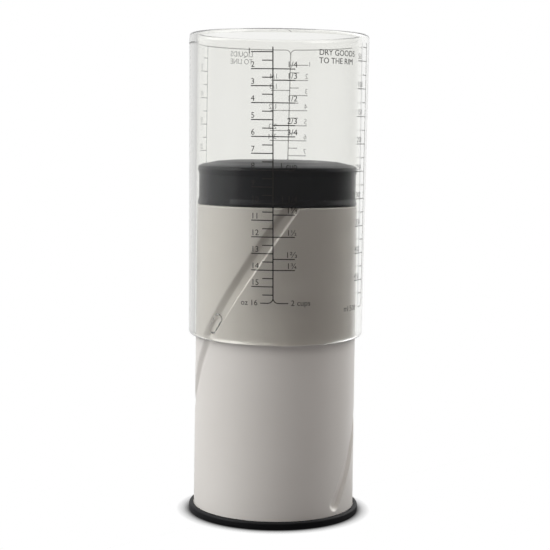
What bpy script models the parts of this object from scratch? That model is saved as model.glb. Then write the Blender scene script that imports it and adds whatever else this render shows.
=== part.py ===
"""Adjustable plunger measuring cup: a clear graduated sleeve that screws up and down a hollow plunger.

The plunger stands on its foot ring. Two lugs inside the sleeve's foot run in the plunger's two steep helical
grooves, so turning the sleeve raises or lowers it, and the silicone seal on the plunger is the floor of the cup.
The origin is the centre of the foot ring's underside, +Z is up, -Y is the front, and all lengths are metres.
"""

import math

import bmesh
import bpy
from mathutils import Matrix, Vector

MM = 0.001
SEGMENTS = 72  # facets round a turned piece
FACET = math.tau / SEGMENTS
SHARP_ANGLE = math.radians(30)
GAP = 0.3 * MM  # between pieces that rest on, or are fixed in, each other
FLUID_OUNCE = 29.5735e-6  # US fluid ounce, in cubic metres
MILLILITRE = 1e-6

# Measuring sleeve
BORE_RADIUS = 36.5 * MM
SLEEVE_LENGTH = 134.4 * MM
SLEEVE_TOP_RADIUS = 40.0 * MM  # the outside tapers to the foot by the mould's draft
SLEEVE_FOOT_RADIUS = 39.2 * MM
FOOT_BEAD = 0.3 * MM  # how far the bead round the sleeve's foot stands out
RIM_ROUND = 1.6 * MM
WRAP_RADIUS = BORE_RADIUS  # flat drawings keep their length when they are wrapped round the axis at this radius
DRAFT = (SLEEVE_TOP_RADIUS - SLEEVE_FOOT_RADIUS) / SLEEVE_LENGTH
BORE_AREA = math.pi * BORE_RADIUS**2
OUNCE_STEP = FLUID_OUNCE / BORE_AREA  # rise of the sleeve for one fluid ounce

# Plunger, by height above the table
FOOT_HEIGHT = 3.4 * MM  # top of the foot ring
FOOT_RADIUS = 38.5 * MM
FOOT_FLOOR = 1.3 * MM
TUBE_BOTTOM = FOOT_FLOOR + GAP
SHOULDER_HEIGHT = 139.5 * MM  # where the tube steps in to the neck
SEAL_EDGE_HEIGHT = 155.6 * MM  # the seal's reading edge
TUBE_TOP_RADIUS = 35.8 * MM
TUBE_FOOT_RADIUS = 36.35 * MM
TUBE_BORE = 32.6 * MM
NECK_RADIUS = 32.8 * MM
NECK_BORE = 30.2 * MM
NECK_TOP = 152.0 * MM
NECK_BEAD = 0.5 * MM

# Rest position: the reading edge stands at the 8 ounce line, which is 1 cup
REST_OUNCES = 8
ZERO_BELOW_RIM = 2.8 * MM  # the dry scale's zero, lower than the rim to make up for the seal's dome
DRY_MILLILITRES_BELOW_RIM = 0.2 * MM  # the dry millilitre scale starts right at the rim
FILL_LINE_BELOW_RIM = 4.7 * MM  # the liquid scale's zero
RIM_HEIGHT = SEAL_EDGE_HEIGHT + REST_OUNCES * OUNCE_STEP + ZERO_BELOW_RIM
SLEEVE_HEIGHT = RIM_HEIGHT - SLEEVE_LENGTH  # of the sleeve's foot

# Screw: two helical grooves, half a turn apart. Azimuth is 0 at the front and grows towards +X.
LEAD = 335.0 * MM
GROOVE_WIDTH = 4.7 * MM  # square to the groove
GROOVE_FLOOR = 34.6 * MM
GROOVE_BOTTOM = 8.0 * MM  # centre of its round lower end
GROOVE_FRONT_HEIGHT = 129.6 * MM  # height of the first groove's centre line at azimuth 0
LUG_WIDTH = 4.1 * MM
LUG_LENGTH = 9.4 * MM
LUG_TIP = 35.3 * MM
LUG_HEIGHT = 88.5 * MM

# Seal
SEAL_WALL = 35.1 * MM  # outside of the wall between its foot and its shoulder
SEAL_LIP = 36.3 * MM  # the wiper lip round its foot
SEAL_SHOULDER = 35.7 * MM  # the rounded upper edge
SEAL_BORE = NECK_RADIUS + GAP
SEAL_FOOT = SHOULDER_HEIGHT + GAP
CROWN_HEIGHT = 159.4 * MM
NOTCH_WIDTH = 13.0 * MM  # the lower lip is cut away here, so that a lug can pass

# Printed scales, on the outside of the sleeve. Marks are measured in degrees round it.
PRINT_GAP = 0.08 * MM
PRINT_THICKNESS = 0.12 * MM
LINE_WIDTH = 0.45 * MM
LONG_MARK = 13.6
SHORT_MARK = 6.4
DRY_OUNCE_AZIMUTH = -3.2
DRY_MILLILITRE_AZIMUTH = 73.0
LIQUID_OUNCE_AZIMUTH = 172.4
LIQUID_MILLILITRE_AZIMUTH = 245.6
FILL_LINE_AZIMUTH = 203.5
FILL_LINE_SPAN = 181.0
CUP_FRACTIONS = (1 / 4, 1 / 3, 1 / 2, 2 / 3, 3 / 4)
OUNCES_A_CUP = 8
LARGEST_OUNCES = 16
LARGEST_MILLILITRES = 500
MILLILITRE_MARK = 25
LONG_MILLILITRE_MARK = 50


def clear_scene():
    for old in list(bpy.data.objects):
        bpy.data.objects.remove(old, do_unlink=True)


def new_collection(name, hidden=False):
    made = bpy.data.collections.new(name)
    bpy.context.scene.collection.children.link(made)
    made.hide_render = hidden
    return made


def new_material(name, colour, roughness, alpha=1.0):
    made = bpy.data.materials.new(name)
    made.use_nodes = True
    shader = made.node_tree.nodes["Principled BSDF"]
    shader.inputs["Base Color"].default_value = (*colour, 1.0)
    shader.inputs["Roughness"].default_value = roughness
    shader.inputs["Metallic"].default_value = 0.0
    shader.inputs["Alpha"].default_value = alpha
    made.diffuse_color = (*colour, alpha)
    return made


def new_object(name, mesh, collection, material=None, parent=None, height=0.0):
    made = bpy.data.objects.new(name, mesh)
    collection.objects.link(made)
    made.location.z = height
    made.parent = parent
    if material:
        mesh.materials.append(material)
    return made


def new_empty(name, collection, height, parent=None):
    made = bpy.data.objects.new(name, None)
    collection.objects.link(made)
    made.location.z = height
    made.parent = parent
    made.empty_display_size = 10 * MM
    return made


def turned(name, profile, collection, material=None, parent=None, closed=True):
    """A ring turned about Z. The profile lists (radius, height) down the outer side and back up the inner one."""
    mesh = bpy.data.meshes.new(name)
    edges = [(i, i + 1) for i in range(len(profile) - 1)]
    if closed:
        edges.append((len(profile) - 1, 0))
    mesh.from_pydata([(radius, 0.0, z) for radius, z in profile], edges, [])
    made = new_object(name, mesh, collection, material, parent)
    screw = made.modifiers.new("turn", "SCREW")
    screw.axis = "Z"
    screw.steps = SEGMENTS
    screw.render_steps = SEGMENTS
    screw.use_merge_vertices = True
    screw.merge_threshold = 0.01 * MM
    graph = bpy.context.evaluated_depsgraph_get()
    made.data = bpy.data.meshes.new_from_object(made.evaluated_get(graph))
    made.modifiers.clear()
    made.data.shade_smooth()
    made.data.set_sharp_from_angle(angle=SHARP_ANGLE)
    return made


def boolean(target, tool, operation):
    """Joins a helper solid to a piece, or cuts it away, and leaves the helper as a wire guide."""
    tool.parent = target.parent
    tool.hide_render = True
    tool.display_type = "WIRE"
    modifier = target.modifiers.new(f"{operation.lower()}_{tool.name}", "BOOLEAN")
    modifier.operation = operation
    modifier.object = tool
    modifier.solver = "EXACT"


def corner(radius, centre, start, end, steps=3):
    """Points of a rounded edge, as (radius, height), from one angle to the other, in degrees."""
    angles = [math.radians(start + (end - start) * i / steps) for i in range(steps + 1)]
    return [(centre[0] + radius * math.cos(a), centre[1] + radius * math.sin(a)) for a in angles]


def rectangle(left, right, low, high):
    return [(left, low), (right, low), (right, high), (left, high)]


def stadium(length, width, lean, steps=6):
    """Outline of a slot with round ends, about its own centre, leaning from the level by an angle in radians."""
    half = length / 2 - width / 2
    points = []
    for end in (1, -1):
        for i in range(steps + 1):
            turn = math.radians(-90 + 180 * i / steps)
            x = half + width / 2 * math.cos(turn)
            y = width / 2 * math.sin(turn)
            points.append(Vector((end * x, end * y)))
    turn = Matrix.Rotation(lean, 2)
    return [turn @ point for point in points]


def wrapped_plate(name, polygons, inner, outer, collection, azimuth, height, draft=0.0):
    """A plate drawn flat, as polygons of (arc length, height), then wrapped round the Z axis between two radii."""
    plate = bmesh.new()
    for polygon in polygons:
        plate.faces.new([plate.verts.new((x, y, (inner - outer) / 2)) for x, y in polygon])
    bmesh.ops.remove_doubles(plate, verts=plate.verts, dist=0.001 * MM)
    thick = bmesh.ops.extrude_face_region(plate, geom=plate.faces[:], use_keep_orig=True)["geom"]
    raised = [item for item in thick if isinstance(item, bmesh.types.BMVert)]
    bmesh.ops.translate(plate, verts=raised, vec=(0, 0, outer - inner))
    widths = [x for polygon in polygons for x, _ in polygon]
    step = WRAP_RADIUS * FACET
    start = math.ceil(min(widths) / step - 0.5)
    end = math.ceil(max(widths) / step - 0.5)
    for i in range(start, end):  # a bend between facets, half a facet to each side of the middle
        everything = plate.verts[:] + plate.edges[:] + plate.faces[:]
        bend = ((i + 0.5) * step, 0, 0)
        bmesh.ops.bisect_plane(plate, geom=everything, dist=1e-7, plane_co=bend, plane_no=(1, 0, 0))
    middle = (inner + outer) / 2
    for vert in plate.verts:
        angle = vert.co.x / WRAP_RADIUS
        radius = middle + vert.co.z + draft * vert.co.y
        vert.co = (radius * math.sin(angle), -radius * math.cos(angle), vert.co.y)
    plate.normal_update()
    bmesh.ops.recalc_face_normals(plate, faces=plate.faces)
    mesh = bpy.data.meshes.new(name)
    plate.to_mesh(mesh)
    plate.free()
    made = new_object(name, mesh, collection, height=height)
    made.rotation_euler.z = math.radians(azimuth)
    return made


def groove_azimuth(height):
    """Azimuth of the first groove's centre line at a height above the table, in degrees."""
    return 360 * (height - GROOVE_FRONT_HEIGHT) / LEAD


def helix_lean():
    return math.atan2(LEAD, math.tau * WRAP_RADIUS)


def sleeve_radius(height):
    """Outside radius of the sleeve at a height above its own foot."""
    return SLEEVE_FOOT_RADIUS + DRAFT * height


def make_sleeve(parts, tools, material, parent):
    wall_middle = (SLEEVE_TOP_RADIUS + BORE_RADIUS) / 2
    rim = corner(RIM_ROUND, (BORE_RADIUS + RIM_ROUND, SLEEVE_LENGTH - RIM_ROUND), 180, 90)
    rim += corner(RIM_ROUND, (SLEEVE_TOP_RADIUS - RIM_ROUND, SLEEVE_LENGTH - RIM_ROUND), 90, 0)
    bead_height = 2.0 * MM
    foot_round = 0.8 * MM
    bead_radius = SLEEVE_FOOT_RADIUS + FOOT_BEAD
    foot = [(sleeve_radius(2 * bead_height), 2 * bead_height), (bead_radius, bead_height)]
    foot += corner(foot_round, (bead_radius - foot_round, foot_round), 0, -90, 2)
    foot += [(BORE_RADIUS + foot_round / 2, 0.0), (BORE_RADIUS, foot_round / 2)]
    sleeve = turned("measuring_sleeve", rim + foot, parts, material, parent)
    for side in (0, 180):
        outline = [stadium(LUG_LENGTH, LUG_WIDTH, helix_lean(), steps=4)]
        azimuth = groove_azimuth(LUG_HEIGHT) + side
        height = LUG_HEIGHT - SLEEVE_HEIGHT
        lug = wrapped_plate(f"lug_{side}", outline, LUG_TIP, wall_middle, tools, azimuth, height)
        boolean(sleeve, lug, "UNION")


def make_plunger_tube(parts, tools, material, parent):
    chamfer = 0.5 * MM
    flange_top = TUBE_BOTTOM + 0.8 * MM
    flange_radius = TUBE_FOOT_RADIUS + 0.9 * MM
    seat_bore = TUBE_BORE + 0.8 * MM
    seat_top = TUBE_BOTTOM + 3.3 * MM
    bead_height = NECK_TOP - 4.5 * MM
    profile = [
        (NECK_RADIUS, NECK_TOP),
        (NECK_RADIUS, bead_height + 1.0 * MM),
        (NECK_RADIUS + NECK_BEAD, bead_height),
        (NECK_RADIUS, bead_height - 1.0 * MM),
        (NECK_RADIUS, SHOULDER_HEIGHT),
        (TUBE_TOP_RADIUS - chamfer, SHOULDER_HEIGHT),
        (TUBE_TOP_RADIUS, SHOULDER_HEIGHT - chamfer),
        (TUBE_FOOT_RADIUS, flange_top),
        (flange_radius, flange_top),
        (flange_radius, TUBE_BOTTOM),
        (seat_bore, TUBE_BOTTOM),
        (seat_bore, seat_top),
        (TUBE_BORE, seat_top),
        (TUBE_BORE, SHOULDER_HEIGHT - 6.0 * MM),
        (NECK_BORE, SHOULDER_HEIGHT - 3.0 * MM),
        (NECK_BORE, NECK_TOP),
    ]
    tube = turned("plunger_tube", profile, parts, material, parent)
    top = SHOULDER_HEIGHT + 30.0 * MM  # the cutter runs on past the shoulder, so that the groove opens there
    middle = (GROOVE_BOTTOM + top) / 2
    length = (top - GROOVE_BOTTOM) / math.sin(helix_lean()) + GROOVE_WIDTH
    outline = [stadium(length, GROOVE_WIDTH, helix_lean())]
    for side in (0, 180):
        azimuth = groove_azimuth(middle) + side
        cutter = wrapped_plate(
            f"groove_{side}", outline, GROOVE_FLOOR, SLEEVE_TOP_RADIUS, tools, azimuth, middle
        )
        boolean(tube, cutter, "DIFFERENCE")


def make_plunger_head(parts, material, parent):
    spigot = NECK_BORE - GAP
    wall = 2.0 * MM
    seat = NECK_TOP + GAP
    profile = [
        (0.0, 157.2 * MM),
        (20.0 * MM, 156.8 * MM),
        (27.5 * MM, 156.2 * MM),
        (NECK_RADIUS, 154.0 * MM),
        (NECK_RADIUS, seat),
        (spigot, seat),
        (spigot, NECK_TOP - 6.0 * MM),
        (spigot - wall, NECK_TOP - 6.0 * MM),
        (spigot - wall, seat + 1.0 * MM),
        (0.0, seat + 2.4 * MM),
    ]
    turned("plunger_head", profile, parts, material, parent, closed=False)


def make_seal(parts, tools, material, parent):
    edge = SEAL_EDGE_HEIGHT
    bead_height = NECK_TOP - 4.5 * MM
    profile = [
        (0.0, CROWN_HEIGHT),
        (20.0 * MM, CROWN_HEIGHT - 0.2 * MM),
        (27.0 * MM, CROWN_HEIGHT - 0.7 * MM),
        (33.2 * MM, edge + 1.8 * MM),
        (34.9 * MM, edge + 1.0 * MM),
        (SEAL_SHOULDER, edge),
        (SEAL_SHOULDER, edge - 1.0 * MM),
        (SEAL_WALL, edge - 2.6 * MM),
        (SEAL_WALL, SEAL_FOOT + 2.0 * MM),
        (SEAL_LIP, SEAL_FOOT + 0.8 * MM),
        (SEAL_LIP, SEAL_FOOT),
        (SEAL_BORE, SEAL_FOOT),
        (SEAL_BORE, bead_height - 1.1 * MM),
        (SEAL_BORE + NECK_BEAD, bead_height),
        (SEAL_BORE, bead_height + 1.1 * MM),
        (SEAL_BORE, 154.2 * MM),
        (27.7 * MM, 156.55 * MM),
        (20.0 * MM, 157.15 * MM),
        (0.0, 157.55 * MM),
    ]
    seal = turned("plunger_seal", profile, parts, material, parent, closed=False)
    half = NOTCH_WIDTH / 2
    outline = [rectangle(-half, half, -4.0 * MM, 4.0 * MM)]
    for side in (0, 180):
        azimuth = groove_azimuth(LUG_HEIGHT) + side
        outer = SEAL_LIP + 2.0 * MM
        cutter = wrapped_plate(
            f"lip_notch_{side}", outline, SEAL_WALL, outer, tools, azimuth, SEAL_FOOT - 1.0 * MM
        )
        boolean(seal, cutter, "DIFFERENCE")


def make_foot_ring(parts, material, parent):
    channel = TUBE_FOOT_RADIUS + 0.9 * MM + GAP
    lip_bore = TUBE_FOOT_RADIUS + GAP
    channel_top = TUBE_BOTTOM + 0.8 * MM + GAP
    edge = 0.6 * MM
    profile = [
        (lip_bore, FOOT_HEIGHT),
        (FOOT_RADIUS - edge, FOOT_HEIGHT),
        (FOOT_RADIUS, FOOT_HEIGHT - edge),
        (FOOT_RADIUS, edge),
        (FOOT_RADIUS - edge, 0.0),
        (TUBE_BORE + 2.2 * MM, 0.0),
        (TUBE_BORE + 1.4 * MM, FOOT_FLOOR),
        (channel, FOOT_FLOOR),
        (channel, channel_top),
        (lip_bore, channel_top),
    ]
    turned("foot_ring", profile, parts, material, parent)


def make_base_plate(parts, material, parent):
    radius = TUBE_BORE + 0.8 * MM - GAP
    top = TUBE_BOTTOM + 3.3 * MM - GAP
    rim = TUBE_BOTTOM + 0.4 * MM
    profile = [
        (0.0, top),
        (radius, top),
        (radius, rim),
        (radius - 1.8 * MM, rim),
        (radius - 2.6 * MM, top - 1.6 * MM),
        (0.0, top - 1.6 * MM),
    ]
    turned("base_plate", profile, parts, material, parent, closed=False)


def make_scale(name, parts, material, parent, azimuth, left_marks, right_marks):
    """An upright line with marks on either side of it, all one piece. Marks are (height on the sleeve, degrees)."""
    half = LINE_WIDTH / 2
    heights = [height for height, _ in left_marks + right_marks]
    levels = {round(height + end, 7) for height in heights for end in (-half, half)}
    levels = sorted(levels | {max(heights) + 2.0 * MM})
    polygons = [rectangle(-half, half, low, high) for low, high in zip(levels, levels[1:])]
    for side, marks in ((-1, left_marks), (1, right_marks)):
        for height, degrees in marks:
            near, far = sorted((side * half, side * math.radians(degrees) * WRAP_RADIUS))
            polygons.append(rectangle(near, far, height - half, height + half))
    inner = SLEEVE_FOOT_RADIUS + PRINT_GAP
    scale = wrapped_plate(name, polygons, inner, inner + PRINT_THICKNESS, parts, azimuth, 0.0, DRAFT)
    scale.parent = parent
    scale.data.materials.append(material)


def ounce_marks(zero):
    """Heights on the sleeve of the half ounces and the ounces, with the length of each mark."""
    halves = range(2, 2 * LARGEST_OUNCES + 1)
    return [(zero - n / 2 * OUNCE_STEP, SHORT_MARK if n % 2 else LONG_MARK) for n in halves]


def cup_marks(zero):
    cups = [whole + part for whole in (0, 1) for part in (*CUP_FRACTIONS, 1)]
    return [(zero - n * OUNCES_A_CUP * OUNCE_STEP, LONG_MARK) for n in cups]


def millilitre_marks(zero):
    volumes = range(MILLILITRE_MARK, LARGEST_MILLILITRES + 1, MILLILITRE_MARK)
    return [
        (zero - n * MILLILITRE / BORE_AREA, SHORT_MARK if n % LONG_MILLILITRE_MARK else LONG_MARK)
        for n in volumes
    ]


def make_fill_line(parts, material, parent):
    """The level that liquids are filled to: a thin band round the back of the sleeve."""
    half = math.radians(FILL_LINE_SPAN / 2) * WRAP_RADIUS
    rise = LINE_WIDTH / 2
    outline = [rectangle(-half, half, -rise, rise)]
    height = SLEEVE_LENGTH - FILL_LINE_BELOW_RIM
    inner = sleeve_radius(height) + PRINT_GAP
    outer = inner + PRINT_THICKNESS
    line = wrapped_plate("liquid_fill_line", outline, inner, outer, parts, FILL_LINE_AZIMUTH, height, DRAFT)
    line.parent = parent
    line.data.materials.append(material)


def make_scales(parts, material, parent):
    dry = SLEEVE_LENGTH - ZERO_BELOW_RIM
    dry_millilitres = SLEEVE_LENGTH - DRY_MILLILITRES_BELOW_RIM
    liquid = SLEEVE_LENGTH - FILL_LINE_BELOW_RIM
    rows = (
        ("dry_ounce_and_cup_scale", DRY_OUNCE_AZIMUTH, ounce_marks(dry), cup_marks(dry)),
        ("dry_millilitre_scale", DRY_MILLILITRE_AZIMUTH, millilitre_marks(dry_millilitres), []),
        ("liquid_ounce_and_cup_scale", LIQUID_OUNCE_AZIMUTH, ounce_marks(liquid), cup_marks(liquid)),
        ("liquid_millilitre_scale", LIQUID_MILLILITRE_AZIMUTH, [], millilitre_marks(liquid)),
    )
    for name, azimuth, left, right in rows:
        make_scale(name, parts, material, parent, azimuth, left, right)
    make_fill_line(parts, material, parent)


def main():
    clear_scene()
    parts = new_collection("plunger_measuring_cup")
    tools = new_collection("cutters_and_lugs")
    clear_plastic = new_material("clear_copolyester", (0.88, 0.9, 0.88), 0.05, 0.3)
    white_plastic = new_material("white_polypropylene", (0.72, 0.7, 0.67), 0.35)
    silicone = new_material("black_silicone", (0.02, 0.02, 0.025), 0.5)
    rubber = new_material("black_rubber", (0.012, 0.012, 0.013), 0.6)
    ink = new_material("black_ink", (0.02, 0.02, 0.02), 0.5)

    plunger = new_empty("plunger_frame", parts, 0.0)
    make_foot_ring(parts, rubber, plunger)
    make_plunger_tube(parts, tools, white_plastic, plunger)
    make_base_plate(parts, white_plastic, plunger)
    make_plunger_head(parts, white_plastic, plunger)

    seal_axis = new_empty("seal_axis", parts, 0.0, plunger)
    make_seal(parts, tools, silicone, seal_axis)

    sleeve_axis = new_empty("sleeve_axis", parts, SLEEVE_HEIGHT, seal_axis)
    make_sleeve(parts, tools, clear_plastic, sleeve_axis)
    make_scales(parts, ink, sleeve_axis)


main()
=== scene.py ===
import math

import bmesh
import bpy
import numpy as np
from mathutils import Matrix, Vector


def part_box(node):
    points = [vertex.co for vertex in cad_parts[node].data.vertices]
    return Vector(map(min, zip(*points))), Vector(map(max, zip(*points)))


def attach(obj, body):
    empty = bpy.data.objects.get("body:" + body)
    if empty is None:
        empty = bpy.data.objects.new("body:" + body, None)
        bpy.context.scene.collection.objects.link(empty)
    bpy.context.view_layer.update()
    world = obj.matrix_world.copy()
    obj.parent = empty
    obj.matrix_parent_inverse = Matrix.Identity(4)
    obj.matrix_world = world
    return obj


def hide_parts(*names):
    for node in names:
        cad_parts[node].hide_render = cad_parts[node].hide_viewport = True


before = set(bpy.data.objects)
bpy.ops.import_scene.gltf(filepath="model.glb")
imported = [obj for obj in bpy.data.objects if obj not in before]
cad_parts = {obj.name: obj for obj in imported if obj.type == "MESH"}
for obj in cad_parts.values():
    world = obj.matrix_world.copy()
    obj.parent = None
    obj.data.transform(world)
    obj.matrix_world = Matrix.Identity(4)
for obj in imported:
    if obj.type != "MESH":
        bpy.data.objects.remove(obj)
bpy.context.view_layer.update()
print("loaded", len(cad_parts), "solids")

mm = 0.001
fluidOunce = 29.5735e-6   # cubic metres
millilitre = 1e-6

# heights and radii that the solids already fix
sleeveLow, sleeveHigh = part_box("measuring_sleeve")
tubeLow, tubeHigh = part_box("plunger_tube")
sealLow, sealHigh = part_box("plunger_seal")
ringLow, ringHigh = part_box("foot_ring")
headLow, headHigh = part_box("plunger_head")
plateLow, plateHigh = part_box("base_plate")

# what more than one piece needs
cup = {
    "boreRadius": 36.5 * mm,
    "rimRadius": sleeveHigh[0],
    "footRadius": 39.2 * mm,        # the outside narrows to the foot, by the mould's draft
    "rimHeight": sleeveHigh[2],
    "footHeight": sleeveLow[2],
    "shoulder": 139.5 * mm,         # where the tube steps in to its neck
    "sealEdge": 155.6 * mm,         # the seal's reading edge
    "lead": 335.0 * mm,             # rise of the sleeve in one whole turn
    "grooveAtFront": 129.6 * mm,    # height of the first groove's middle at azimuth 0
    "lugHeight": 88.5 * mm,
    "grooveWidth": 4.7 * mm,        # square to the groove
}
cup["draft"] = (cup["rimRadius"] - cup["footRadius"]) / (cup["rimHeight"] - cup["footHeight"])
cup["lean"] = math.atan2(cup["lead"], math.tau * cup["boreRadius"])   # of the groove, from the level
cup["ounce"] = fluidOunce / (math.pi * cup["boreRadius"] ** 2)        # travel for one ounce
cup["millilitre"] = millilitre / (math.pi * cup["boreRadius"] ** 2)

meshSizes = {
    "merge": 0.002 * mm,            # points closer than this become one
    "sliver": 0.001 * mm,           # and shorter edges go
    "sharp": 38,                    # an edge that turns by more degrees stays sharp
    "hold": 0.12 * mm,              # how close to a bend the extra row stands
    "tallWall": 20 * mm,            # only the long walls have straight stretches above this
}


def linear(hexColour):
    parts = [int(hexColour[i:i + 2], 16) / 255 for i in (1, 3, 5)]
    return [c / 12.92 if c <= 0.04045 else ((c + 0.055) / 1.055) ** 2.4 for c in parts] + [1.0]


def addNode(tree, kind, inputs=(), **settings):
    node = tree.nodes.new(kind)
    for name, value in settings.items():
        setattr(node, name, value)
    for key, value in dict(inputs).items():
        if isinstance(value, bpy.types.NodeSocket):
            tree.links.new(value, node.inputs[key])
        else:
            node.inputs[key].default_value = value
    return node


def newMaterial(name, **sockets):
    material = bpy.data.materials.new(name)
    material.use_nodes = True
    shader = material.node_tree.nodes["Principled BSDF"]
    for socket, value in sockets.items():
        shader.inputs[socket.replace("_", " ")].default_value = value
    return material, material.node_tree, shader


def lugAzimuths():
    first = 360 * (cup["lugHeight"] - cup["grooveAtFront"]) / cup["lead"]
    return [first % 360, (first + 180) % 360]


def arcFrom(middle, azimuth):
    # length round the bore from a middle azimuth, below zero on the side of lower azimuths
    return np.radians((azimuth - middle + 180) % 360 - 180) * cup["boreRadius"]


def smoothStep(low, high, value):
    t = np.clip((value - low) / (high - low), 0, 1)
    return t * t * (3 - 2 * t)


def roundedPath(corners, steps):
    # corners are (radius, height, rounding); a corner with no rounding stays sharp
    points = []
    count = len(corners)
    for i, (r, z, rounding) in enumerate(corners):
        here = Vector((r, z))
        if not rounding:
            points.append(here)
            continue
        before = (Vector(corners[i - 1][:2]) - here).normalized()
        after = (Vector(corners[(i + 1) % count][:2]) - here).normalized()
        half = before.angle(after) / 2
        reach = rounding / math.tan(half)
        centre = here + (before + after).normalized() * rounding / math.sin(half)
        start = here + before * reach - centre
        sweep = start.angle_signed(here + after * reach - centre)
        for k in range(steps + 1):
            points.append(centre + Matrix.Rotation(-sweep * k / steps, 2) @ start)
    return points


def heldFlat(points, closed):
    # a row close to each end of a straight stretch keeps its shading straight
    reach = meshSizes["hold"]
    result = []
    ends = zip(points, points[1:] + points[:1]) if closed else zip(points, points[1:])
    for a, b in ends:
        result.append(a)
        length = (b - a).length
        if length > 6 * reach:
            result += [a.lerp(b, reach / length), a.lerp(b, 1 - reach / length)]
    return result if closed else result + [points[-1]]


def withRows(points, low, high, step, side):
    # adds rows to the long straight stretch on one side, "outer" or "inner"
    result = []
    for a, b in zip(points, points[1:] + points[:1]):
        result.append(a)
        tall = abs(a.y - b.y) > meshSizes["tallWall"]
        if not tall or (side == "outer") != (a.y > b.y):
            continue
        count = int(abs(a.y - b.y) / step)
        for k in range(1, count):
            point = a.lerp(b, k / count)
            if low < point.y < high:
                result.append(point)
    return result


def turnedMesh(name, path, azimuths, reshape=None, twist=0.0, closed=True):
    # rows run along the path and columns stand at the azimuths
    # twist is in degrees for each metre of height
    path = heldFlat(path, closed)
    r = np.array([p.x for p in path])[:, None] * np.ones(len(azimuths))
    z = np.array([p.y for p in path])[:, None] * np.ones(len(azimuths))
    column = np.array(azimuths)[None, :] * np.ones(len(path))[:, None]
    if reshape:
        r = reshape(column, r, z)
    turn = np.radians(column + twist * z)
    verts = np.stack([r * np.sin(turn), -r * np.cos(turn), z], axis=-1).reshape(-1, 3)
    rows, columns = r.shape
    faces = []
    for i in range(rows if closed else rows - 1):
        for j in range(columns):
            a, b = i * columns, (i + 1) % rows * columns
            k = (j + 1) % columns
            faces.append((a + j, b + j, b + k, a + k))
    mesh = bpy.data.meshes.new(name)
    mesh.from_pydata(verts.tolist(), [], faces)
    tidy = bmesh.new()
    tidy.from_mesh(mesh)
    bmesh.ops.remove_doubles(tidy, verts=tidy.verts, dist=meshSizes["merge"])
    bmesh.ops.dissolve_degenerate(tidy, edges=tidy.edges, dist=meshSizes["sliver"])
    bmesh.ops.recalc_face_normals(tidy, faces=tidy.faces)
    tidy.to_mesh(mesh)
    tidy.free()
    mesh.shade_smooth()
    mesh.set_sharp_from_angle(angle=math.radians(meshSizes["sharp"]))
    return mesh


def showPiece(name, mesh, material, body, slot, *nodes):
    piece = bpy.data.objects.new(name, mesh)
    bpy.context.scene.collection.objects.link(piece)
    mesh.materials.clear()
    mesh.materials.append(material)
    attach(piece, body)
    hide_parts(*nodes)
    print("made", name, len(mesh.polygons), "faces")
    return piece


def evenAzimuths(count):
    return [360 * i / count for i in range(count)]


def finerNear(middles, reach, fine, coarse):
    # azimuths round the circle: close together near the middles, wider apart elsewhere
    found = []
    azimuth = 0.0
    while azimuth < 360 - fine / 2:
        found.append(azimuth)
        gap = min(abs((azimuth - m + 180) % 360 - 180) for m in middles)
        azimuth += fine if gap < reach else min(coarse, max(fine, gap - reach + fine))
    return found


# Clear copolyester, injection moulded: glassy, a shade grey where it is thick, with very faint flow waves.
def makeClearCopolyester():
    material, tree, shader = newMaterial("clearCopolyester", Transmission_Weight=1.0, IOR=1.57)
    place = addNode(tree, "ShaderNodeTexCoord")
    flow = addNode(tree, "ShaderNodeTexNoise", {"Vector": place.outputs["Object"], "Scale": 30.0, "Detail": 2.0})
    tint = addNode(tree, "ShaderNodeMix", {
        "Factor": flow.outputs[0], 6: linear("#FBFBF8"), 7: linear("#FDFDFB")}, data_type="RGBA")
    gloss = addNode(tree, "ShaderNodeMapRange", {"Value": flow.outputs[0], "To Min": 0.01, "To Max": 0.035})
    tree.links.new(tint.outputs[2], shader.inputs["Base Color"])
    tree.links.new(gloss.outputs[0], shader.inputs["Roughness"])
    return material


# White polypropylene, injection moulded with a fine spark-eroded satin: soft broad highlights, faint mottling.
def makeWhitePolypropylene():
    material, tree, shader = newMaterial("whitePolypropylene", IOR=1.49, Specular_IOR_Level=0.5)
    place = addNode(tree, "ShaderNodeTexCoord")
    cloud = addNode(tree, "ShaderNodeTexNoise", {"Vector": place.outputs["Object"], "Scale": 25.0, "Detail": 3.0})
    tint = addNode(tree, "ShaderNodeMix", {
        "Factor": cloud.outputs[0], 6: linear("#E2DED8"), 7: linear("#E9E6E1")}, data_type="RGBA")
    # the grain is about 0.4 mm, coarser than the real spark finish, so that it still shows
    grain = addNode(tree, "ShaderNodeTexNoise", {"Vector": place.outputs["Object"], "Scale": 2500.0, "Detail": 2.0})
    satin = addNode(tree, "ShaderNodeMapRange", {"Value": grain.outputs[0], "To Min": 0.36, "To Max": 0.5})
    bump = addNode(tree, "ShaderNodeBump", {
        "Height": grain.outputs[0], "Strength": 0.08, "Distance": 0.02 * mm})
    tree.links.new(tint.outputs[2], shader.inputs["Base Color"])
    tree.links.new(satin.outputs[0], shader.inputs["Roughness"])
    tree.links.new(bump.outputs[0], shader.inputs["Normal"])
    return material


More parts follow.
